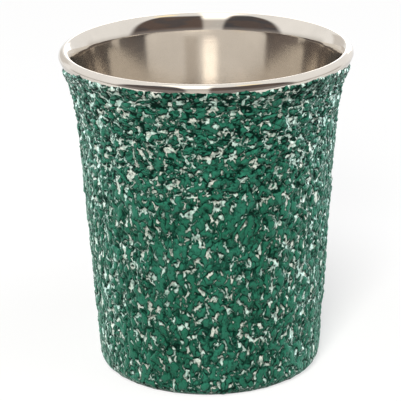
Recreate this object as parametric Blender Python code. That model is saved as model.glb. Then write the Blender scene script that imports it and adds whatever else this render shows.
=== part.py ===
# Sake cup with two drawn steel walls and an evacuated space between them. The liner's flared mouth
# rolls over into a round bare lip, and a lacquer coat covers the outer wall below it.
# Metres, +Z up. The origin is the centre of the foot, on the surface that the cup stands on.

import math

import bpy
from mathutils import Vector
from mathutils.geometry import interpolate_bezier

MM = 0.001

# Outside form
RIM_DIAMETER = 56.0 * MM  # across the rolled lip
CUP_HEIGHT = 63.5 * MM
FOOT_DIAMETER = 43.4 * MM  # across the lacquer where the wall leaves the foot corner
FOOT_CORNER = 2.3 * MM  # radius of the lacquered corner
FOOT_STAND = 0.2 * MM  # height of the lacquer's lowest line above the table
FLARE_SPREAD = 2.2 * MM  # what the flare adds to the taper's radius at the lip
FLARE_DEPTH = 18.3 * MM  # height over which the outer wall flares
FLARE_POWER = 2.4

# Lip
LIP_ROLL = 1.2 * MM  # outside radius of the roll
MOUTH_DEPTH = 3.2 * MM  # height of the liner's flared mouth
MOUTH_RISE = 0.55  # share of that height before the mouth turns outward
MOUTH_SWEEP = 0.25  # share of the mouth's width that runs level into the crest
LINER_SPREAD = 0.95 * MM  # what the liner's straight flare adds to its taper at the lip
BRAZE_SHARE = 0.64  # share of the roll's hollow that the braze ring fills

# Walls and the space between them
LACQUER = 0.4 * MM
LACQUER_END = 72.0  # degrees round the foot corner that the coat covers
SHELL_SHEET = 0.3 * MM
LINER_SHEET = 0.35 * MM
VACUUM_AT_FOOT = 1.35 * MM
VACUUM_AT_LIP = 0.25 * MM
FLOOR_SPACE = 2.6 * MM  # between the base plate and the liner's floor
FLOOR_CORNER = 4.0 * MM  # radius inside the cup
SEAT_GAP = 0.3 * MM  # clearance between pieces that touch

# Base
SHELL_TURN_IN = 1.9 * MM  # level strip that the shell turns in under its foot corner
FOOT_RING_WIDTH = 2.2 * MM
FOOT_BEND = 0.5 * MM  # outside radius of the foot ring's bends
FLANGE_HEIGHT = 2.6 * MM
BASE_SHEET = 0.45 * MM
BASE_RECESS = 1.7 * MM  # height of the web's underside
WELD_BEAD = 0.5 * MM  # diameter
DIMPLE_DIAMETER = 8.4 * MM
DIMPLE_RISE = 0.9 * MM
PUMP_HOLE_DIAMETER = 1.8 * MM
SEAL_DOME = 0.35 * MM
COVER_SHEET = 0.4 * MM
COVER_HEIGHT = 0.7 * MM  # height of the cover's underside above the table

# Getter
PELLET_DIAMETER = 5.4 * MM
PELLET_THICKNESS = 1.1 * MM
CLIP_SHEET = 0.2 * MM
CLIP_WIDTH = 2.6 * MM
CLIP_FOOT = 1.8 * MM
GETTER_INSET = 5.6 * MM  # from the foot ring's inside to the pellet's axis

# Facets
WALL_SEGMENTS = 48
BASE_SEGMENTS = 32

rim_radius = RIM_DIAMETER / 2
foot_radius = FOOT_DIAMETER / 2
corner_top = FOOT_STAND + FOOT_CORNER
roll_height = CUP_HEIGHT - LIP_ROLL
crest_radius = rim_radius - LIP_ROLL
mouth_root = CUP_HEIGHT - MOUTH_DEPTH
lacquer_top = roll_height - SEAT_GAP
roll_hollow = LIP_ROLL - LINER_SHEET - SEAT_GAP
braze_radius = roll_hollow * BRAZE_SHARE
braze_offset = (roll_hollow - braze_radius) * math.sqrt(0.5)
braze_centre = (crest_radius + braze_offset, roll_height + braze_offset)
shell_inset = LACQUER + SEAT_GAP
shell_top = braze_centre[1] - braze_radius - SEAT_GAP
shell_foot = FOOT_STAND + shell_inset
web_top = BASE_RECESS + BASE_SHEET
liner_floor = web_top + FLOOR_SPACE + LINER_SHEET
shell_edge = foot_radius - FOOT_CORNER - SHELL_TURN_IN
foot_ring_outer = shell_edge - SEAT_GAP
foot_ring_inner = foot_ring_outer - FOOT_RING_WIDTH
getter_radius = foot_ring_inner - GETTER_INSET


def share_of_height(height):
    return (height - corner_top) / (roll_height - corner_top)


def taper_radius(height):
    return foot_radius + (rim_radius - FLARE_SPREAD - foot_radius) * share_of_height(height)


def flare_climb(height):
    return max(0.0, (height - roll_height + FLARE_DEPTH) / FLARE_DEPTH)


def wall_radius(height):
    return taper_radius(height) + FLARE_SPREAD * flare_climb(height) ** FLARE_POWER


def liner_radius(height):
    vacuum = VACUUM_AT_FOOT + (VACUUM_AT_LIP - VACUUM_AT_FOOT) * share_of_height(height)
    flare = LINER_SPREAD * flare_climb(height)
    return taper_radius(height) + flare - shell_inset - SHELL_SHEET - vacuum - LINER_SHEET


def heights(start, end, steps):
    return [start + (end - start) * step / steps for step in range(steps + 1)]


def arc(centre, radius, start, end, steps):
    points = []
    for angle in heights(math.radians(start), math.radians(end), steps):
        points.append((centre[0] + radius * math.cos(angle), centre[1] + radius * math.sin(angle)))
    return points


def outer_line(inset, top, corner_end):
    # Down the outer wall, inset from the lacquer's face, and round the foot corner.
    flare_foot = max(roll_height - FLARE_DEPTH, corner_top)
    flare = [(wall_radius(z) - inset, z) for z in heights(top, flare_foot, 6)]
    centre = (foot_radius - FOOT_CORNER, corner_top)
    return flare + arc(centre, FOOT_CORNER - inset, 0, -corner_end, 5)


def new_material(name, colour, roughness, metallic):
    material = bpy.data.materials.new(name)
    material.use_nodes = True
    shader = material.node_tree.nodes["Principled BSDF"]
    shader.inputs["Base Color"].default_value = (*colour, 1.0)
    shader.inputs["Roughness"].default_value = roughness
    shader.inputs["Metallic"].default_value = metallic
    return material


def settle(piece, material, parent):
    # Keeps the shape that the modifiers make, with round faces smooth and edges crisp.
    graph = bpy.context.evaluated_depsgraph_get()
    mesh = bpy.data.meshes.new_from_object(piece.evaluated_get(graph))
    mesh.name = piece.name
    mesh.shade_smooth()
    mesh.set_sharp_from_angle(angle=math.radians(35))
    mesh.materials.clear()
    mesh.materials.append(material)
    piece.modifiers.clear()
    piece.data = mesh
    piece.parent = parent
    return piece


def add_mesh(name, points, edges, faces):
    mesh = bpy.data.meshes.new(name)
    mesh.from_pydata(points, edges, faces)
    piece = bpy.data.objects.new(name, mesh)
    bpy.context.scene.collection.objects.link(piece)
    return piece


def thicken(piece, sheet):
    solid = piece.modifiers.new("sheet", "SOLIDIFY")
    solid.thickness = sheet
    solid.offset = -1.0
    solid.use_even_offset = True


def turn(name, outline, segments, closed=False):
    # Turns a radius and height outline about the cup's axis.
    points = [(radius, 0.0, height) for radius, height in outline]
    edges = [(i, i + 1) for i in range(len(points) - 1)]
    if closed:
        edges.append((len(points) - 1, 0))
    piece = add_mesh(name, points, edges, [])
    screw = piece.modifiers.new("turn", "SCREW")
    screw.axis = "Z"
    screw.angle = math.tau
    screw.steps = segments
    screw.render_steps = segments
    screw.use_merge_vertices = True
    screw.merge_threshold = 0.00001
    return piece


def make_liner(material, parent):
    wall_foot = liner_floor + FLOOR_CORNER
    corner = (liner_radius(wall_foot) - FLOOR_CORNER, wall_foot)
    outline = [(0.0, liner_floor)]
    outline += arc(corner, FLOOR_CORNER, -90, 0, 4)
    outline += [(liner_radius(z), z) for z in heights(wall_foot, mouth_root, 8)[1:]]

    # The mouth leaves the wall along its slope and arrives level at the crest.
    root = Vector((liner_radius(mouth_root), mouth_root))
    below = Vector((liner_radius(mouth_root - LINER_SHEET), mouth_root - LINER_SHEET))
    crest = Vector((crest_radius, CUP_HEIGHT))
    rise = root + (root - below).normalized() * MOUTH_DEPTH * MOUTH_RISE
    level = crest - Vector((crest.x - root.x, 0.0)) * MOUTH_SWEEP
    mouth = interpolate_bezier(root, rise, level, crest, 8)
    outline += [(point.x, point.y) for point in mouth[1:]]

    outline += arc((crest_radius, roll_height), LIP_ROLL, 90, 0, 5)[1:]
    liner = turn("liner", outline, WALL_SEGMENTS)
    thicken(liner, LINER_SHEET)
    return settle(liner, material, parent)


def make_lip_braze_ring(material, parent):
    outline = arc(braze_centre, braze_radius, 90, -270, 6)[:-1]
    ring = turn("lip_braze_ring", outline, BASE_SEGMENTS, closed=True)
    return settle(ring, material, parent)


def make_outer_shell(material, parent):
    outline = outer_line(shell_inset, shell_top, 90)
    outline.append((shell_edge, shell_foot))
    shell = turn("outer_shell", outline, WALL_SEGMENTS)
    thicken(shell, SHELL_SHEET)
    return settle(shell, material, parent)


def make_lacquer_coat(material, parent):
    coat = turn("lacquer_coat", outer_line(0.0, lacquer_top, LACQUER_END), WALL_SEGMENTS)
    thicken(coat, LACQUER)
    return settle(coat, material, parent)


def make_base_plate(material, parent):
    dimple = DIMPLE_DIAMETER / 2
    ceiling = BASE_RECESS + DIMPLE_RISE
    outline = [(foot_ring_outer, FLANGE_HEIGHT)]
    outline += arc((foot_ring_outer - FOOT_BEND, FOOT_BEND), FOOT_BEND, 0, -90, 2)
    outline += arc((foot_ring_inner + FOOT_BEND, FOOT_BEND), FOOT_BEND, -90, -180, 2)
    outline.append((foot_ring_inner, BASE_RECESS))
    outline.append((dimple, BASE_RECESS))
    outline.append((dimple - DIMPLE_RISE / 2, ceiling))
    outline.append((PUMP_HOLE_DIAMETER / 2, ceiling))
    plate = turn("base_plate", outline, BASE_SEGMENTS)
    thicken(plate, BASE_SHEET)
    return settle(plate, material, parent)


def make_base_weld(material, parent):
    bead = WELD_BEAD / 2
    centre = (foot_ring_outer + SEAT_GAP + bead, shell_foot - SEAT_GAP - bead)
    weld = turn("base_weld", arc(centre, bead, 90, -270, 6)[:-1], BASE_SEGMENTS, closed=True)
    return settle(weld, material, parent)


def make_evacuation_seal(material, parent):
    ceiling = BASE_RECESS + DIMPLE_RISE - SEAT_GAP
    plug = PUMP_HOLE_DIAMETER / 2 - SEAT_GAP
    pad = DIMPLE_DIAMETER / 2 - DIMPLE_RISE / 2 - SEAT_GAP
    outline = [(0.0, ceiling + SEAT_GAP + BASE_SHEET), (plug, ceiling + SEAT_GAP + BASE_SHEET)]
    outline += [(plug, ceiling), (pad, ceiling)]
    for side in heights(1.0, 0.0, 3):
        outline.append((pad * side, BASE_RECESS - SEAL_DOME * (1.0 - side * side)))
    seal = turn("evacuation_seal", outline, BASE_SEGMENTS // 2)
    return settle(seal, material, parent)


def make_base_cover(material, parent):
    edge = foot_ring_inner - SEAT_GAP
    outline = [(edge, BASE_RECESS - SEAT_GAP), (edge, COVER_HEIGHT), (0.0, COVER_HEIGHT)]
    cover = turn("base_cover", outline, BASE_SEGMENTS)
    thicken(cover, COVER_SHEET)
    return settle(cover, material, parent)


def make_getter_pellet(material, parent):
    radius = PELLET_DIAMETER / 2
    foot = SEAT_GAP
    top = foot + PELLET_THICKNESS
    outline = [(0.0, top), (radius, top), (radius, foot), (0.0, foot)]
    pellet = settle(turn("getter_pellet", outline, BASE_SEGMENTS // 2), material, parent)
    pellet.location = (0.0, getter_radius, web_top)
    return pellet


def make_getter_clip(material, parent):
    # A strap over the pellet, with a foot on each side that is welded to the web.
    inside = PELLET_DIAMETER / 2 + SEAT_GAP
    outside = inside + CLIP_SHEET + CLIP_FOOT
    foot = SEAT_GAP + CLIP_SHEET
    top = SEAT_GAP + PELLET_THICKNESS + SEAT_GAP + CLIP_SHEET
    leg = inside + CLIP_SHEET
    strap = [(-outside, foot), (-leg, foot), (-leg, top), (leg, top), (leg, foot), (outside, foot)]
    front = [(x, -CLIP_WIDTH / 2, z) for x, z in strap]
    back = [(x, CLIP_WIDTH / 2, z) for x, z in strap]
    count = len(strap)
    faces = [(i, i + 1, count + i + 1, count + i) for i in range(count - 1)]
    clip = add_mesh("getter_clip", front + back, [], faces)
    thicken(clip, CLIP_SHEET)
    settle(clip, material, parent)
    clip.location = (0.0, getter_radius, web_top)
    return clip


for leftover in list(bpy.data.objects):
    bpy.data.objects.remove(leftover, do_unlink=True)

polished_steel = new_material("polished_steel", (0.62, 0.58, 0.55), 0.2, 1.0)
plain_steel = new_material("plain_steel", (0.5, 0.48, 0.46), 0.42, 1.0)
weld_steel = new_material("weld_steel", (0.4, 0.37, 0.34), 0.5, 1.0)
green_lacquer = new_material("green_lacquer", (0.04, 0.13, 0.082), 0.5, 0.0)
solder_glass = new_material("solder_glass", (0.12, 0.12, 0.13), 0.25, 0.0)
getter_metal = new_material("getter_metal", (0.2, 0.2, 0.2), 0.65, 0.8)

cup = bpy.data.objects.new("cup", None)
bpy.context.scene.collection.objects.link(cup)

make_liner(polished_steel, cup)
make_lip_braze_ring(weld_steel, cup)
make_outer_shell(plain_steel, cup)
make_lacquer_coat(green_lacquer, cup)
make_base_plate(plain_steel, cup)
make_base_weld(weld_steel, cup)
make_evacuation_seal(solder_glass, cup)
make_base_cover(plain_steel, cup)
make_getter_pellet(getter_metal, cup)
make_getter_clip(plain_steel, cup)
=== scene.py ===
import math
import bpy
from mathutils import Matrix, Vector
from mathutils.geometry import interpolate_bezier


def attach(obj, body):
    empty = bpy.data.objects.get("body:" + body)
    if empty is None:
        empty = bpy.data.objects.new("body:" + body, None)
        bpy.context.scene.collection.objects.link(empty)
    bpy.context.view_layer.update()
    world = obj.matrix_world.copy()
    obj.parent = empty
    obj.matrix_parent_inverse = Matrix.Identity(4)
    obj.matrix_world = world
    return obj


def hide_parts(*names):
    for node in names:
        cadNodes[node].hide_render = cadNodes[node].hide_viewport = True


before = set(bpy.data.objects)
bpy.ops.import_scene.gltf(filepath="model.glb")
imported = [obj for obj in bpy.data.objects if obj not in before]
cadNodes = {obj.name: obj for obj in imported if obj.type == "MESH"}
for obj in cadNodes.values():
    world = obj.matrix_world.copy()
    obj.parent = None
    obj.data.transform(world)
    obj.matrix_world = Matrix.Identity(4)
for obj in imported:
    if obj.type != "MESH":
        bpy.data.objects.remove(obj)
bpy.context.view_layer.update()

print("frame loaded:", len(cadNodes), "nodes")

white = (1.0, 1.0, 1.0, 1.0)
mmPerMetre = 1000.0

# sizes of the cup in metres, the same as its solids have
cupForm = {
    "rimRadius": 0.028,
    "height": 0.0635,
    "footRadius": 0.0217,
    "footCorner": 0.0023,
    "footStand": 0.0002,
    "flareSpread": 0.0022,
    "flareDepth": 0.0183,
    "flarePower": 2.4,
    "lipRoll": 0.0012,
}
cornerTop = cupForm["footStand"] + cupForm["footCorner"]
rollHeight = cupForm["height"] - cupForm["lipRoll"]
crestRadius = cupForm["rimRadius"] - cupForm["lipRoll"]


def heightShare(z):
    return (z - cornerTop) / (rollHeight - cornerTop)


def taperRadius(z):
    topRadius = cupForm["rimRadius"] - cupForm["flareSpread"]
    return cupForm["footRadius"] + (topRadius - cupForm["footRadius"]) * heightShare(z)


def flareClimb(z):
    return max(0.0, (z - rollHeight + cupForm["flareDepth"]) / cupForm["flareDepth"])


def wallRadius(z):
    return taperRadius(z) + cupForm["flareSpread"] * flareClimb(z) ** cupForm["flarePower"]


def evenSteps(start, end, count):
    return [start + (end - start) * i / count for i in range(count + 1)]


def arcPoints(centre, radius, startDeg, endDeg, count):
    angles = [math.radians(a) for a in evenSteps(startDeg, endDeg, count)]
    return [(centre[0] + radius * math.cos(a), centre[1] + radius * math.sin(a)) for a in angles]


turning = {
    "seedSize": 0.002,
    "mergeDistance": 0.000002,
}


# a turned piece: one vertex is drawn out along the outline, then spun round the cup's axis
def spinOutline(name, outline, steps, closeLoop):
    bpy.ops.object.select_all(action="DESELECT")
    bpy.ops.mesh.primitive_plane_add(size=turning["seedSize"], location=(0, 0, 0))
    piece = bpy.context.object
    piece.name = name
    piece.data.name = name
    bpy.ops.object.mode_set(mode="EDIT")
    bpy.ops.mesh.select_all(action="SELECT")
    bpy.ops.mesh.merge(type="CENTER")
    bpy.ops.transform.translate(value=(outline[0][0], 0, outline[0][1]))
    for here, there in zip(outline, outline[1:]):
        step = (there[0] - here[0], 0, there[1] - here[1])
        bpy.ops.mesh.extrude_vertices_move(TRANSFORM_OT_translate={"value": step})
    if closeLoop:
        bpy.ops.object.mode_set(mode="OBJECT")
        for vertex in piece.data.vertices:
            vertex.select = vertex.index in (0, len(outline) - 1)
        bpy.ops.object.mode_set(mode="EDIT")
        bpy.ops.mesh.edge_face_add()
    bpy.ops.mesh.select_all(action="SELECT")
    bpy.ops.mesh.spin(steps=steps, angle=math.tau, center=(0, 0, 0), axis=(0, 0, 1))
    bpy.ops.mesh.select_all(action="SELECT")
    bpy.ops.mesh.remove_doubles(threshold=turning["mergeDistance"])
    bpy.ops.mesh.select_all(action="SELECT")
    bpy.ops.mesh.normals_make_consistent(inside=False)
    bpy.ops.object.mode_set(mode="OBJECT")
    return piece


def pickOnly(piece):
    bpy.ops.object.select_all(action="DESELECT")
    piece.select_set(True)
    bpy.context.view_layer.objects.active = piece


def smoothPiece(piece, degrees):
    pickOnly(piece)
    bpy.ops.object.shade_smooth_by_angle(angle=math.radians(degrees))


def applyModifier(piece, modifier):
    pickOnly(piece)
    bpy.ops.object.modifier_apply(modifier=modifier.name)


# node helpers that work in a material's tree and in a geometry tree alike
def addNode(tree, kind, **settings):
    node = tree.nodes.new(kind)
    for key, value in settings.items():
        setattr(node, key, value)
    return node


def plug(tree, source, node, socket):
    if hasattr(source, "is_output"):
        tree.links.new(source, node.inputs[socket])
    else:
        node.inputs[socket].default_value = source


def maths(tree, operation, first, second=0.0, third=None, clamp=False):
    node = addNode(tree, "ShaderNodeMath", operation=operation, use_clamp=clamp)
    plug(tree, first, node, 0)
    plug(tree, second, node, 1)
    if third is not None:
        plug(tree, third, node, 2)
    return node.outputs[0]


def ramp(tree, value, low, high, toLow, toHigh, kind="SMOOTHSTEP"):
    node = addNode(tree, "ShaderNodeMapRange", interpolation_type=kind)
    for socket, given in enumerate((value, low, high, toLow, toHigh)):
        plug(tree, given, node, socket)
    return node.outputs[0]


def between(tree, value, start, end, soft):
    rising = ramp(tree, value, start - soft, start + soft, 0.0, 1.0)
    return maths(tree, "MULTIPLY", rising, ramp(tree, value, end - soft, end + soft, 1.0, 0.0))


def noiseOf(tree, place, scale, detail, roughness=0.5, output="Fac"):
    node = addNode(tree, "ShaderNodeTexNoise", noise_dimensions="3D")
    plug(tree, place, node, "Vector")
    plug(tree, scale, node, "Scale")
    plug(tree, detail, node, "Detail")
    plug(tree, roughness, node, "Roughness")
    return node.outputs[output]


def vectors(tree, operation, first, second=None, scale=None):
    node = addNode(tree, "ShaderNodeVectorMath", operation=operation)
    plug(tree, first, node, 0)
    if second is not None:
        plug(tree, second, node, 1)
    if scale is not None:
        plug(tree, scale, node, "Scale")
    return node.outputs["Value" if operation in ("LENGTH", "DOT_PRODUCT") else "Vector"]


def axesOf(tree, vector):
    node = addNode(tree, "ShaderNodeSeparateXYZ")
    plug(tree, vector, node, 0)
    return node.outputs


def mixColour(tree, share, first, second, blend="MIX"):
    node = addNode(tree, "ShaderNodeMix", data_type="RGBA", blend_type=blend)
    plug(tree, share, node, 0)
    plug(tree, first, node, 6)
    plug(tree, second, node, 7)
    return node.outputs[2]


def bumpOf(tree, height, strength, distance):
    node = addNode(tree, "ShaderNodeBump")
    plug(tree, strength, node, "Strength")
    plug(tree, distance, node, "Distance")
    plug(tree, height, node, "Height")
    return node.outputs[0]


def centred(tree, value, amount):
    return maths(tree, "MULTIPLY_ADD", value, amount, -0.5 * amount)


# zero along winding lines of the noise, higher away from them
def ridgeOf(tree, noise):
    return maths(tree, "ABSOLUTE", centred(tree, noise, 2.0))


# the lacquer's pattern in millimetres: islands of lacquer, bare flecks in the gaps between them,
# and painted light and shade on the green
# a noise has its scale, detail and roughness, a reach its start and end and the values there
lacquerLook = {
    # below one draws the pattern out, along the axis under and in the flare
    "upright": (0.72, 0.86),
    "uprightTop": 40.0,
    # and round the cup in the flare
    "spread": (34.0, 52.0, 1.0, 0.88),
    "upper": (24.5, 42.0, 0.0, 1.0),
    "islandSize": 1.45,
    "islandWarp": 1.5,
    "warpNoise": (0.6, 2.0),
    "ragged": 0.19,
    "ragNoise": (1.9, 2.0),
    "patchNoise": (0.78, 2.0, 0.5),
    "patchFoot": (0.7, 11.5, -0.035, 0.0),
    "patchLip": (26.0, 40.0, 0.0, 0.025),
    "fleckWidth": (0.428, 0.683, -0.25, 0.29),
    "chipSize": 1.05,
    "chipNoise": (0.9, 2.0, 0.5),
    "chipWidth": (0.52, 0.72, -0.25, 0.11),
    "ringSize": 3.4,
    "ringRadius": 0.32,
    "ringWidth": 0.13,
    "ringPick": (0.6, 0.7, 1.0, 0.0),
    "fleckEdge": (-0.12, 0.14, 1.0, 0.0),
    "shoulder": (-0.08, 0.5, -0.20, 0.0),
    "lumps": 0.9,
    "lumpNoise": (0.36, 1.0),
    "creaseNoise": (0.5, 2.0, 0.45),
    "pebbles": (0.0, 0.2, -0.20, 0.0),
    "foldStretch": (1.0, 1.0, 2.1),
    "foldNoise": (0.45, 2.0),
    "folds": (0.0, 0.2, -0.29, 0.0),
    "foldShare": (0.8, 0.2),  # gained toward the lip, and had at the foot
    "wrinkles": 0.17,
    "wrinkleNoise": (1.2, 2.0),
    "rise": 0.03,
    "toneNoise": (0.16, 2.0),
    # painted light: the green is lighter toward the lip, where the flare faces down away from the
    # lamps
    "paintedLightUpper": 0.2,
    "tone": (0.35, 0.65, 0.0, 1.0),
    # painted shade in the relief's low places, eased a little toward the lip
    "hollowUpper": 0.04,
    "hollow": (-0.28, -0.06, 0.95, 0.0),
    # painted shadow above each fleck: how far above it falls, and how dark
    "paintedShadowOffset": 0.3,
    "paintedUndercutShadow": (-0.06, 0.16, 0.95, 0.0),
    # painted shade in a band round each fleck, where the pit's walls would lie in shade
    "paintedRimShade": (0.10, 0.34, 0.7, 0.0),
    "green": (0.015, 0.113, 0.067, 1.0),
    "greenLight": (0.022, 0.143, 0.090, 1.0),
    # the colour that the painted shade darkens the green toward
    "greenInShade": (0.001, 0.007, 0.005, 1.0),
    "warmNoise": (0.5, 1.0),
    "warm": (0.42, 0.62, 0.0, 1.0),
    "soilNoise": (1.6, 2.0),
    "soil": (0.45, 0.70, 0.0, 0.85),
    "fleck": (0.55, 0.72, 0.64, 1.0),
    "fleckWarm": (0.62, 0.66, 0.58, 1.0),
    "fleckDull": (0.15, 0.26, 0.20, 1.0),
    "fleckMetal": 0.2,
    "roughness": (0.0, 1.0, 0.33, 0.55),
    "grain": 0.19,
    "grainNoise": (2.3, 3.0, 0.6),
    "bumpStep": (-0.1, 0.12, -0.16, 0.0),
    "bumpCrease": (0.0, 0.2, -0.12, 0.0),
    "bumpDistance": 0.001,
    "shine": (0.0, 0.9, 1.0, 0.15),
    "specular": 0.13,
    "sheen": 0.24,
    "sheenRoughness": 0.3,
    "sheenTint": (0.72, 1.0, 0.88, 1.0),
}


def cellEdge(tree, place, size):
    cells = addNode(tree, "ShaderNodeTexVoronoi", feature="DISTANCE_TO_EDGE")
    plug(tree, place, cells, "Vector")
    plug(tree, 1.0 / size, cells, "Scale")
    return maths(tree, "MULTIPLY", cells.outputs["Distance"], size)


# the pattern's own space, drawn out along the cup's axis and, in the flare, round it
def drawnOut(tree, place):
    look = lacquerLook
    under, over = look["upright"]
    x, y, z = axesOf(tree, vectors(tree, "SCALE", place, scale=mmPerMetre))
    above = maths(tree, "MAXIMUM", maths(tree, "SUBTRACT", z, look["uprightTop"]), 0.0)
    level = maths(tree, "MULTIPLY", z, under)
    spread = ramp(tree, z, *look["spread"])
    join = addNode(tree, "ShaderNodeCombineXYZ")
    plug(tree, maths(tree, "MULTIPLY", x, spread), join, 0)
    plug(tree, maths(tree, "MULTIPLY", y, spread), join, 1)
    plug(tree, maths(tree, "MULTIPLY_ADD", above, over - under, level), join, 2)
    return join.outputs[0]


def driftOf(tree, mm):
    drift = noiseOf(tree, mm, *lacquerLook["warpNoise"], output="Color")
    drift = vectors(tree, "SUBTRACT", drift, (0.5, 0.5, 0.5))
    return vectors(tree, "ADD", mm, vectors(tree, "SCALE", drift, scale=lacquerLook["islandWarp"]))


# distance to the edge of the nearest bare fleck, below zero inside it
def fleckGap(tree, mm, warped):
    look = lacquerLook
    rag = centred(tree, noiseOf(tree, mm, *look["ragNoise"]), look["ragged"])
    # broken cell edges
    level = axesOf(tree, mm)[2]
    patch = noiseOf(tree, mm, *look["patchNoise"])
    patch = maths(tree, "ADD", patch, ramp(tree, level, *look["patchFoot"]))
    patch = maths(tree, "ADD", patch, ramp(tree, level, *look["patchLip"]))
    width = ramp(tree, patch, *look["fleckWidth"], "LINEAR")
    edge = maths(tree, "ADD", cellEdge(tree, warped, look["islandSize"]), rag)
    gap = maths(tree, "SUBTRACT", edge, width)
    # small chips
    chips = noiseOf(tree, mm, *look["chipNoise"])
    width = ramp(tree, chips, *look["chipWidth"], "LINEAR")
    edge = maths(tree, "ADD", cellEdge(tree, warped, look["chipSize"]), rag)
    gap = maths(tree, "MINIMUM", gap, maths(tree, "SUBTRACT", edge, width))
    # burst bubbles that left a ring
    rings = addNode(tree, "ShaderNodeTexVoronoi", feature="F1")
    plug(tree, warped, rings, "Vector")
    spacing, radius = look["ringSize"], look["ringRadius"]
    plug(tree, 1.0 / spacing, rings, "Scale")
    reach = maths(tree, "MULTIPLY_ADD", rings.outputs["Distance"], spacing, -radius)
    reach = maths(tree, "ADD", maths(tree, "ABSOLUTE", reach), rag)
    reach = maths(tree, "SUBTRACT", reach, look["ringWidth"])
    chance = axesOf(tree, rings.outputs["Color"])[0]
    reach = maths(tree, "ADD", reach, ramp(tree, chance, *look["ringPick"]))
    return maths(tree, "MINIMUM", gap, reach)


def lacquerPattern(tree, place):
    look = lacquerLook
    mm = drawnOut(tree, place)
    upper = ramp(tree, axesOf(tree, mm)[2], *look["upper"])
    warped = driftOf(tree, mm)
    gap = fleckGap(tree, mm, warped)
    # relief: slow lumps, pebbles parted by creases, flat folds near the lip, small wrinkles
    lumps = centred(tree, noiseOf(tree, mm, *look["lumpNoise"]), look["lumps"])
    crease = ridgeOf(tree, noiseOf(tree, warped, *look["creaseNoise"]))
    pebbles = ramp(tree, crease, *look["pebbles"])
    flat = vectors(tree, "MULTIPLY", mm, look["foldStretch"])
    folds = ramp(tree, ridgeOf(tree, noiseOf(tree, flat, *look["foldNoise"])), *look["folds"])
    folds = maths(tree, "MULTIPLY", folds, maths(tree, "MULTIPLY_ADD", upper, *look["foldShare"]))
    wrinkles = centred(tree, noiseOf(tree, mm, *look["wrinkleNoise"]), look["wrinkles"])
    rough = maths(tree, "ADD", maths(tree, "ADD", pebbles, folds), wrinkles)
    raised = maths(tree, "ADD", ramp(tree, gap, *look["shoulder"]), look["rise"])
    return {
        "mm": mm,
        "upper": upper,
        "gap": gap,
        "fleck": ramp(tree, gap, *look["fleckEdge"]),
        "crease": crease,
        "rough": rough,
        "height": maths(tree, "ADD", maths(tree, "ADD", rough, lumps), raised),
    }


lacquerPiece = {
    "thickness": 0.0004,
    "climb": 0.0004,
    "overlap": 0.0001,
    "overlapReach": 0.0015,
    "cornerEnd": 72.0,
    "rowStep": 0.0003,
    "innerRows": 12,
    "innerCornerRows": 3,
    "steps": 430,
    # relief: where it fades in and out, and the coat's top edge
    "facing": (-0.2, 0.2, 0.0, 1.0),
    "footCalm": (0.001, 0.009, 0.4, 1.0),
    "fade": (0.0042, 0.0009),  # below the coat's top
    "edgeRise": 0.00016,
    "edgeReach": 0.0075,
    "edgeNoise": (0.42, 3.0, 0.6),
    "edgeRagged": 2.2,
    "edgeDrop": (0.0, 0.6, -3.0, -0.75),  # at the two sides, then in front and behind
    "edgeSlope": 0.31,
}
coatTop = rollHeight + lacquerPiece["climb"]


# geometry nodes that raise the lacquer's relief and keep where each point lay before
def reliefTree():
    piece = lacquerPiece
    tree = bpy.data.node_groups.new("lacquerRelief", "GeometryNodeTree")
    tree.interface.new_socket("Geometry", in_out="INPUT", socket_type="NodeSocketGeometry")
    tree.interface.new_socket("Geometry", in_out="OUTPUT", socket_type="NodeSocketGeometry")
    into = addNode(tree, "NodeGroupInput")
    out = addNode(tree, "NodeGroupOutput")
    place = addNode(tree, "GeometryNodeInputPosition").outputs[0]
    normal = addNode(tree, "GeometryNodeInputNormal").outputs[0]
    keep = addNode(tree, "GeometryNodeStoreNamedAttribute",
                   data_type="FLOAT_VECTOR", domain="POINT")
    plug(tree, into.outputs[0], keep, "Geometry")
    plug(tree, "restPlace", keep, "Name")
    plug(tree, place, keep, "Value")
    pattern = lacquerPattern(tree, place)
    across = vectors(tree, "NORMALIZE", vectors(tree, "MULTIPLY", place, (1.0, 1.0, 0.0)))
    outside = ramp(tree, vectors(tree, "DOT_PRODUCT", normal, across), *piece["facing"], "LINEAR")
    y, z = axesOf(tree, place)[1:]
    fadeStart, fadeEnd = (coatTop - depth for depth in piece["fade"])
    edgeFade = ramp(tree, z, fadeStart, fadeEnd, 1.0, 0.0, "LINEAR")
    calm = maths(tree, "MULTIPLY", outside, ramp(tree, z, *piece["footCalm"]))
    lift = maths(tree, "MULTIPLY", pattern["height"], 1.0 / mmPerMetre)
    lift = maths(tree, "MULTIPLY", maths(tree, "MULTIPLY", lift, calm), edgeFade)
    lift = maths(tree, "ADD", lift, ramp(tree, edgeFade, 0.0, 1.0, piece["edgeRise"], 0.0))
    # the top edge runs ragged along the lip, and lower at the two sides
    edgeStart = coatTop - piece["edgeReach"]
    edgeShare = ramp(tree, z, edgeStart, coatTop, 0.0, 1.0 / mmPerMetre, "LINEAR")
    level = vectors(tree, "MULTIPLY", pattern["mm"], (1.0, 1.0, 0.0))
    ragged = centred(tree, noiseOf(tree, level, *piece["edgeNoise"]), piece["edgeRagged"])
    front = maths(tree, "ABSOLUTE", maths(tree, "MULTIPLY", y, 1.0 / cupForm["rimRadius"]))
    ragged = maths(tree, "ADD", ramp(tree, front, *piece["edgeDrop"]), ragged)
    ragged = maths(tree, "MULTIPLY", ragged, edgeShare)
    slope = vectors(tree, "SCALE", across, scale=piece["edgeSlope"])
    slope = vectors(tree, "ADD", slope, (0.0, 0.0, 1.0))
    outward = vectors(tree, "SCALE", normal, scale=lift)
    offset = vectors(tree, "ADD", outward, vectors(tree, "SCALE", slope, scale=ragged))
    move = addNode(tree, "GeometryNodeSetPosition")
    plug(tree, keep.outputs["Geometry"], move, "Geometry")
    plug(tree, offset, move, "Offset")
    plug(tree, move.outputs["Geometry"], out, 0)
    return tree


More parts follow.
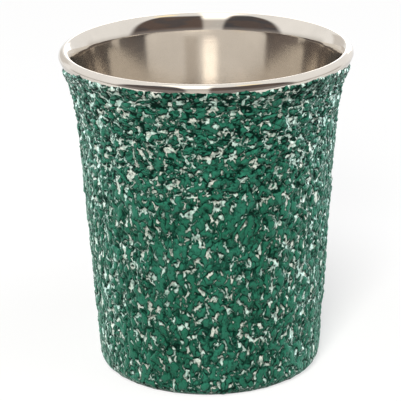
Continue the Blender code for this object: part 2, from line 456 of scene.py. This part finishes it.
def coatRadius(z):
    over = max(0.0, z - rollHeight)
    roll = crestRadius + math.sqrt(cupForm["lipRoll"] ** 2 - over ** 2)
    # the coat's edge lies over the roll
    cover = max(0.0, 1.0 - (coatTop - z) / lacquerPiece["overlapReach"])
    return (wallRadius(z) if z < rollHeight else roll) + lacquerPiece["overlap"] * cover


def makeLacquer():
    piece = lacquerPiece
    rows = round((coatTop - cornerTop) / piece["rowStep"])
    cornerLength = math.radians(piece["cornerEnd"]) * cupForm["footCorner"]
    cornerRows = round(cornerLength / piece["rowStep"])
    centre = (cupForm["footRadius"] - cupForm["footCorner"], cornerTop)
    outline = [(coatRadius(z), z) for z in evenSteps(coatTop, cornerTop, rows)]
    outline += arcPoints(centre, cupForm["footCorner"], 0, -piece["cornerEnd"], cornerRows)[1:]
    inner = cupForm["footCorner"] - piece["thickness"]
    outline += arcPoints(centre, inner, -piece["cornerEnd"], 0, piece["innerCornerRows"])
    for z in evenSteps(cornerTop, coatTop, piece["innerRows"])[1:]:
        outline.append((coatRadius(z) - piece["thickness"], z))
    coat = spinOutline("lacquerCoat", outline, piece["steps"], True)
    relief = coat.modifiers.new("relief", "NODES")
    relief.node_group = reliefTree()
    applyModifier(coat, relief)
    coat.data.shade_smooth()
    print("lacquer coat:", len(coat.data.polygons), "faces")
    return coat


linerPiece = {
    "sheet": 0.00035,
    "floor": 0.0051,
    "floorShares": (0.12, 0.35, 0.6, 0.85),
    "floorCorner": 0.004,
    "mouthDepth": 0.0032,
    "mouthRise": 0.55,
    "mouthSweep": 0.25,
    "flare": 0.00095,
    "wallInset": 0.00135,  # coat, seat and both sheets together
    "vacuumAtFoot": 0.00135,
    "vacuumAtLip": 0.00025,
    "skirt": 0.0034,
    "skirtStart": 0.1,
    "skirtInset": 0.0008,
    "cornerRows": 10,
    "wallRows": 30,
    "mouthRows": 24,
    "rollRows": 12,
    "skirtRows": 9,
    "steps": 192,
    "tangentStep": 0.0002,
    "smoothAngle": 50,
}


def linerRadius(z):
    vacuum = linerPiece["vacuumAtFoot"]
    vacuum += (linerPiece["vacuumAtLip"] - linerPiece["vacuumAtFoot"]) * heightShare(z)
    flare = linerPiece["flare"] * flareClimb(z)
    return taperRadius(z) + flare - linerPiece["wallInset"] - vacuum


def makeLiner():
    piece = linerPiece
    wallFoot = piece["floor"] + piece["floorCorner"]
    corner = (linerRadius(wallFoot) - piece["floorCorner"], wallFoot)
    outline = [(0.0, piece["floor"])]
    outline += [(corner[0] * share, piece["floor"]) for share in piece["floorShares"]]
    outline += arcPoints(corner, piece["floorCorner"], -90, 0, piece["cornerRows"])
    mouthRoot = cupForm["height"] - piece["mouthDepth"]
    outline += [(linerRadius(z), z) for z in evenSteps(wallFoot, mouthRoot, piece["wallRows"])[1:]]
    root = Vector((linerRadius(mouthRoot), mouthRoot))
    under = mouthRoot - piece["tangentStep"]
    below = Vector((linerRadius(under), under))
    crest = Vector((crestRadius, cupForm["height"]))
    rise = root + (root - below).normalized() * piece["mouthDepth"] * piece["mouthRise"]
    level = crest - Vector((crest.x - root.x, 0.0)) * piece["mouthSweep"]
    mouth = interpolate_bezier(root, rise, level, crest, piece["mouthRows"])
    outline += [(p.x, p.y) for p in mouth[1:]]
    rollCentre = (crestRadius, rollHeight)
    outline += arcPoints(rollCentre, cupForm["lipRoll"], 90, 0, piece["rollRows"])[1:]
    # the roll's edge runs down under the lacquer
    for share in evenSteps(piece["skirtStart"], 1.0, piece["skirtRows"]):
        z = rollHeight - piece["skirt"] * share
        outline.append((wallRadius(z) - piece["skirtInset"] * share ** 2, z))
    liner = spinOutline("steelLiner", outline, piece["steps"], False)
    wall = liner.modifiers.new("sheet", "SOLIDIFY")
    wall.thickness = piece["sheet"]
    wall.offset = -1.0
    wall.use_even_offset = True
    applyModifier(liner, wall)
    smoothPiece(liner, piece["smoothAngle"])
    print("steel liner:", len(liner.data.polygons), "faces")
    return liner


def startMaterial(name):
    material = bpy.data.materials.new(name)
    material.use_nodes = True
    tree = material.node_tree
    shader = tree.nodes["Principled BSDF"]
    return material, tree, shader


def shadeOf(colour, share):
    return tuple(c * share for c in colour[:3]) + (1.0,)


def lacquerMaterial():
    look = lacquerLook
    material, tree, shader = startMaterial("pebbledLacquer")
    rest = addNode(tree, "ShaderNodeAttribute",
                   attribute_name="restPlace", attribute_type="GEOMETRY")
    pattern = lacquerPattern(tree, rest.outputs["Vector"])
    mm = pattern["mm"]
    tone = noiseOf(tree, mm, *look["toneNoise"])
    # painted light: lighter green toward the lip
    tone = maths(tree, "MULTIPLY_ADD", pattern["upper"], look["paintedLightUpper"], tone)
    green = mixColour(tree, ramp(tree, tone, *look["tone"]), look["green"], look["greenLight"])
    # painted shade: the green darkens in the relief's low places
    depth = maths(tree, "MULTIPLY_ADD", pattern["upper"], look["hollowUpper"], pattern["rough"])
    hollow = ramp(tree, depth, *look["hollow"])
    # painted shadow: the green just above each fleck is darkened, as if the pit's upper wall shaded
    # it
    below = vectors(tree, "ADD", mm, (0.0, 0.0, -look["paintedShadowOffset"]))
    under = ramp(tree, fleckGap(tree, below, driftOf(tree, below)), *look["paintedUndercutShadow"])
    # painted shade round the rim of each fleck
    rimShade = ramp(tree, pattern["gap"], *look["paintedRimShade"])
    # the painted shades together pull the green toward the shade colour
    dark = maths(tree, "MAXIMUM", maths(tree, "MAXIMUM", hollow, under), rimShade)
    green = mixColour(tree, dark, green, look["greenInShade"])
    warm = ramp(tree, noiseOf(tree, mm, *look["warmNoise"]), *look["warm"])
    soil = ramp(tree, noiseOf(tree, mm, *look["soilNoise"]), *look["soil"])
    fleck = mixColour(tree, warm, look["fleck"], look["fleckWarm"])
    fleck = mixColour(tree, soil, fleck, look["fleckDull"])
    plug(tree, mixColour(tree, pattern["fleck"], green, fleck), shader, "Base Color")
    plug(tree, maths(tree, "MULTIPLY", pattern["fleck"], look["fleckMetal"]), shader, "Metallic")
    plug(tree, ramp(tree, pattern["fleck"], *look["roughness"]), shader, "Roughness")
    grain = noiseOf(tree, mm, *look["grainNoise"])
    step = ramp(tree, pattern["gap"], *look["bumpStep"])
    crease = ramp(tree, pattern["crease"], *look["bumpCrease"])
    fine = maths(tree, "MULTIPLY_ADD", grain, look["grain"], maths(tree, "ADD", step, crease))
    plug(tree, bumpOf(tree, fine, 1.0, look["bumpDistance"]), shader, "Normal")
    # specular and sheen follow the painted shade, as hollows out of the room's light would shine
    # less; the flecks keep theirs
    shine = maths(tree, "MAXIMUM", ramp(tree, dark, *look["shine"], "LINEAR"), pattern["fleck"])
    plug(tree, maths(tree, "MULTIPLY", shine, look["specular"]), shader, "Specular IOR Level")
    plug(tree, maths(tree, "MULTIPLY", shine, look["sheen"]), shader, "Sheen Weight")
    plug(tree, look["sheenRoughness"], shader, "Sheen Roughness")
    plug(tree, look["sheenTint"], shader, "Sheen Tint")
    return material


steelLook = {
    "metallic": 0.97,
    "lineStretch": (0.05, 0.05, 6.0),
    "lineNoise": (1.0, 3.0, 0.6),
    "lineDepth": 0.00001,
    "smearNoise": (0.12, 3.0, 0.6),
    "smearShade": 0.92,
    "noiseReach": (0.3, 0.7),
    "roughShares": (0.85, 1.2),
}


def steelMaterial(name, colour, roughness, streak, satin=None):
    look = steelLook
    material, tree, shader = startMaterial(name)
    place = addNode(tree, "ShaderNodeTexCoord").outputs["Object"]
    mm = vectors(tree, "SCALE", place, scale=mmPerMetre)
    lines = noiseOf(tree, vectors(tree, "MULTIPLY", mm, look["lineStretch"]), *look["lineNoise"])
    smear = ramp(tree, noiseOf(tree, mm, *look["smearNoise"]), *look["noiseReach"], 0.0, 1.0)
    smeared = shadeOf(colour, look["smearShade"])
    plug(tree, mixColour(tree, smear, colour, smeared), shader, "Base Color")
    roughEnds = [roughness * share for share in look["roughShares"]]
    rough = ramp(tree, lines, *look["noiseReach"], *roughEnds, "LINEAR")
    if satin is not None:
        reach = vectors(tree, "LENGTH", vectors(tree, "MULTIPLY", mm, (1.0, 1.0, 0.0)))
        rough = maths(tree, "ADD", rough, ramp(tree, reach, *satin))
    plug(tree, rough, shader, "Roughness")
    plug(tree, look["metallic"], shader, "Metallic")
    plug(tree, bumpOf(tree, lines, streak, look["lineDepth"]), shader, "Normal")
    return material


plainLook = {
    "mottleNoise": (1.1, 4.0, 0.6),
    "mottleReach": (0.3, 0.7),
    "mottleShade": 0.75,
    "roughShares": (0.8, 1.15),
}


def plainMaterial(name, colour, roughness, metallic):
    look = plainLook
    material, tree, shader = startMaterial(name)
    place = addNode(tree, "ShaderNodeTexCoord").outputs["Object"]
    mm = vectors(tree, "SCALE", place, scale=mmPerMetre)
    mottle = noiseOf(tree, mm, *look["mottleNoise"])
    mottled = shadeOf(colour, look["mottleShade"])
    clear = ramp(tree, mottle, *look["mottleReach"], 0.0, 1.0)
    plug(tree, mixColour(tree, clear, mottled, colour), shader, "Base Color")
    roughEnds = [roughness * share for share in look["roughShares"]]
    plug(tree, ramp(tree, mottle, *look["mottleReach"], *roughEnds, "LINEAR"), shader, "Roughness")
    plug(tree, metallic, shader, "Metallic")
    return material


def dress(piece, material):
    piece.data.materials.clear()
    piece.data.materials.append(material)


bpy.ops.object.select_all(action="DESELECT")
lacquer = makeLacquer()
dress(lacquer, lacquerMaterial())
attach(lacquer, "root")
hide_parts("lacquer_coat")

liner = makeLiner()
# satin inside the bowl, polished from the mouth outward: a reach in mm, and the roughness added
satinBowl = (24.2, 25.2, 0.05, 0.0)
linerSteel = steelMaterial("linerSteel", colour=(0.77, 0.717, 0.648, 1.0),
                           roughness=0.05, streak=0.3, satin=satinBowl)
dress(liner, linerSteel)
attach(liner, "root")
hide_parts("liner")

sheetSteel = steelMaterial("sheetSteel", colour=(0.56, 0.53, 0.50, 1.0),
                           roughness=0.32, streak=0.5)
weldSteel = plainMaterial("weldSteel", colour=(0.42, 0.38, 0.34, 1.0),
                          roughness=0.45, metallic=1.0)
for name in ("outer_shell", "base_plate", "base_cover", "getter_clip"):
    dress(cadNodes[name], sheetSteel)
for name in ("lip_braze_ring", "base_weld"):
    dress(cadNodes[name], weldSteel)
solderGlass = plainMaterial("solderGlass", colour=(0.10, 0.10, 0.11, 1.0),
                            roughness=0.22, metallic=0.0)
dress(cadNodes["evacuation_seal"], solderGlass)
getterMetal = plainMaterial("getterMetal", colour=(0.20, 0.20, 0.20, 1.0),
                            roughness=0.65, metallic=0.8)
dress(cadNodes["getter_pellet"], getterMetal)
print("materials set")

# the photograph's viewpoint
cameraSet = {
    "place": (0.0, -0.38792, 0.16527),
    "pitch": 0.3297,
    "pan": -0.00373,
    "roll": -0.0150,
    "lens": 189.2,
    "sensor": 36.0,
    "clipStart": 0.01,
}
bpy.ops.object.camera_add(location=cameraSet["place"])
camera = bpy.context.object
camera.name = "photoCamera"
camera.data.lens = cameraSet["lens"]
camera.data.sensor_width = cameraSet["sensor"]
camera.data.clip_start = cameraSet["clipStart"]
turn = Matrix.Rotation(-cameraSet["pan"], 3, "Z")
turn = turn @ Matrix.Rotation(math.pi / 2 - cameraSet["pitch"], 3, "X")
turn = turn @ Matrix.Rotation(cameraSet["roll"], 3, "Z")
camera.rotation_euler = turn.to_euler()
bpy.context.scene.camera = camera

studio = {
    "floorSize": 3.0,
    "floorBack": 1.43,
    "floorCuts": 3,
    "floorColour": (0.9, 0.9, 0.9, 1.0),
    "floorBounce": (0.22, 0.22, 0.22, 1.0),
    "floorRoughness": 0.9,
    "floorGlow": 1.09,
    # by distance from the cup in metres
    "glowShare": (0.03, 0.09, 0.62, 0.85),
    "mirrorShare": (0.08, 0.45, 0.4, 1.0),
    # what the steel mirrors, by angles in degrees: a dark room in front under a white ceiling
    "roomSide": (-70, 70, 4),
    "roomTop": (62.0, 72.0, 1.0, 0.0),
    "front": (0.040, 0.038, 0.046, 1.0),
    "frontWarm": (0.088, 0.055, 0.044, 1.0),
    "warmNoise": (2.6, 2.0),
    "warmPatch": (0.4, 0.6, -0.5, 0.5),
    "warmSide": (-30.0, 30.0, 0.2, 0.8),
    # patches over it: angles from the front or the back, angles of rise, softness, colour
    "views": [
        {"from": "front", "side": (-125, -68), "rise": (-90, 5), "soft": (5, 13),
         "colour": (0.36, 0.34, 0.31, 1.0)},
        {"from": "front", "side": (68, 125), "rise": (-90, 5), "soft": (5, 13),
         "colour": (0.38, 0.34, 0.30, 1.0)},
        {"from": "front", "side": (-70, 70), "rise": (-90, 12), "soft": (4, 8),
         "colour": (0.23, 0.205, 0.20, 1.0)},
        {"from": "back", "side": (-38, -14), "rise": (0, 23), "soft": (4, 3),
         "colour": (0.72, 0.69, 0.66, 1.0)},
        {"from": "back", "side": (-5, 20), "rise": (-5, 16.8), "soft": (4, 1),
         "colour": (3.2, 3.1, 3.0, 1.0)},
    ],
    "strip": {"tilt": (-15, 2, 2), "rise": (40.0, 58.0, 0.3, 1.0), "depth": (0.2, 0.35, 1.0, 0.0),
              "colour": (1.9, 1.85, 1.75, 1.0)},
    "bulb": {"way": (0.3, -0.05, 0.93), "wide": (7.8, 4.2), "colour": (1.4, 1.2, 0.75, 1.0)},
    "softLight": 0.10,
    "lampAim": (0, 0, 0.03),
    # the two at the sides glint on the lacquer alone
    "lamps": [
        {"name": "keyLamp", "place": (-0.08, -0.52, 0.36), "size": 0.16, "watts": 5.6,
         "colour": (1.0, 0.98, 0.95), "lacquerOnly": False},
        {"name": "fillLamp", "place": (0.4, -0.2, 0.3), "size": 0.3, "watts": 0.4,
         "colour": (0.95, 0.98, 1.0), "lacquerOnly": False},
        {"name": "edgeLampLeft", "place": (-0.38, 0.19, 0.14), "size": 0.25, "watts": 3.0,
         "colour": (0.84, 0.95, 1.0), "lacquerOnly": True},
        {"name": "edgeLampRight", "place": (0.38, 0.19, 0.14), "size": 0.25, "watts": 3.4,
         "colour": (0.84, 0.95, 1.0), "lacquerOnly": True},
    ],
}


# one for the rays that see the white background
def backgroundRays(tree, path):
    return maths(tree, "MAXIMUM", path["Is Camera Ray"], path["Is Transmission Ray"])


def makeFloor():
    bpy.ops.object.select_all(action="DESELECT")
    floorPlace = (0.0, studio["floorBack"], 0.0)
    bpy.ops.mesh.primitive_plane_add(size=studio["floorSize"], location=floorPlace)
    floor = bpy.context.object
    floor.name = "studioFloor"
    bpy.ops.object.mode_set(mode="EDIT")
    bpy.ops.mesh.subdivide(number_cuts=studio["floorCuts"])
    bpy.ops.object.mode_set(mode="OBJECT")
    material, tree, shader = startMaterial("studioFloor")
    path = addNode(tree, "ShaderNodeLightPath").outputs
    place = addNode(tree, "ShaderNodeTexCoord").outputs["Object"]
    away = vectors(tree, "LENGTH", vectors(tree, "ADD", place, floorPlace))
    # steel mirrors the floor darker near the cup
    mirrored = ramp(tree, away, *studio["mirrorShare"])
    mirrored = maths(tree, "MULTIPLY", path["Is Glossy Ray"], mirrored)
    seen = maths(tree, "MAXIMUM", backgroundRays(tree, path), mirrored)
    colour = mixColour(tree, path["Is Diffuse Ray"], studio["floorColour"], studio["floorBounce"])
    plug(tree, colour, shader, "Base Color")
    plug(tree, studio["floorRoughness"], shader, "Roughness")
    plug(tree, 0.0, shader, "Specular IOR Level")
    glow = addNode(tree, "ShaderNodeEmission")
    plug(tree, studio["floorGlow"], glow, "Strength")
    blend = addNode(tree, "ShaderNodeMixShader")
    plug(tree, maths(tree, "MULTIPLY", seen, ramp(tree, away, *studio["glowShare"])), blend, 0)
    plug(tree, shader.outputs[0], blend, 1)
    plug(tree, glow.outputs[0], blend, 2)
    plug(tree, blend.outputs[0], tree.nodes["Material Output"], 0)
    floor.data.materials.append(material)


def degreesOf(tree, operation, first, second=0.0):
    return maths(tree, "MULTIPLY", maths(tree, operation, first, second), 180.0 / math.pi)


def makeWorld():
    world = bpy.data.worlds.new("softStudio")
    bpy.context.scene.world = world
    world.use_nodes = True
    tree = world.node_tree
    back = tree.nodes["Background"]
    way = addNode(tree, "ShaderNodeTexCoord").outputs["Generated"]
    x, y, z = axesOf(tree, way)
    side = degreesOf(tree, "ARCTAN2", x, maths(tree, "MULTIPLY", y, -1.0))
    behind = degreesOf(tree, "ARCTAN2", x, y)
    rise = degreesOf(tree, "ARCSINE", z)
    tilt = degreesOf(tree, "ARCSINE", x)
    room = between(tree, side, *studio["roomSide"])
    room = maths(tree, "MULTIPLY", room, ramp(tree, rise, *studio["roomTop"]))
    warm = ramp(tree, noiseOf(tree, way, *studio["warmNoise"]), *studio["warmPatch"])
    warm = maths(tree, "ADD", warm, ramp(tree, side, *studio["warmSide"]), clamp=True)
    colour = mixColour(tree, warm, studio["front"], studio["frontWarm"])
    colour = mixColour(tree, room, white, colour)
    for view in studio["views"]:
        angle = side if view["from"] == "front" else behind
        share = between(tree, angle, *view["side"], view["soft"][0])
        share = maths(tree, "MULTIPLY", share, between(tree, rise, *view["rise"], view["soft"][1]))
        colour = mixColour(tree, share, colour, view["colour"])
    strip = studio["strip"]
    window = between(tree, tilt, *strip["tilt"])
    window = maths(tree, "MULTIPLY", window, ramp(tree, rise, *strip["rise"]))
    window = maths(tree, "MULTIPLY", window, ramp(tree, y, *strip["depth"]))
    colour = mixColour(tree, window, colour, strip["colour"])
    bulb = studio["bulb"]
    near = vectors(tree, "DOT_PRODUCT", way, tuple(Vector(bulb["way"]).normalized()))
    bulbEnds = [math.cos(math.radians(angle)) for angle in bulb["wide"]]
    colour = mixColour(tree, ramp(tree, near, *bulbEnds, 0.0, 1.0), colour, bulb["colour"])
    path = addNode(tree, "ShaderNodeLightPath").outputs
    soft = mixColour(tree, 1.0, colour, shadeOf(white, studio["softLight"]), "MULTIPLY")
    colour = mixColour(tree, path["Is Diffuse Ray"], colour, soft)
    plug(tree, mixColour(tree, backgroundRays(tree, path), colour, white), back, "Color")
    plug(tree, 1.0, back, "Strength")


def addLamp(setting, lacquerSet):
    bpy.ops.object.light_add(type="AREA", location=setting["place"])
    lamp = bpy.context.object
    lamp.name = setting["name"]
    lamp.data.shape = "SQUARE"
    lamp.data.size = setting["size"]
    lamp.data.energy = setting["watts"]
    lamp.data.color = setting["colour"]
    aim = Vector(studio["lampAim"]) - Vector(setting["place"])
    lamp.rotation_euler = aim.to_track_quat("-Z", "Y").to_euler()
    lamp.visible_camera = False
    lamp.visible_glossy = setting["lacquerOnly"]
    if setting["lacquerOnly"]:
        lamp.light_linking.receiver_collection = lacquerSet


makeFloor()
makeWorld()
lacquerSet = bpy.data.collections.new("lacquerSet")
lacquerSet.objects.link(lacquer)
for setting in studio["lamps"]:
    addLamp(setting, lacquerSet)
bpy.context.scene.view_settings.view_transform = "Standard"
print("studio set")
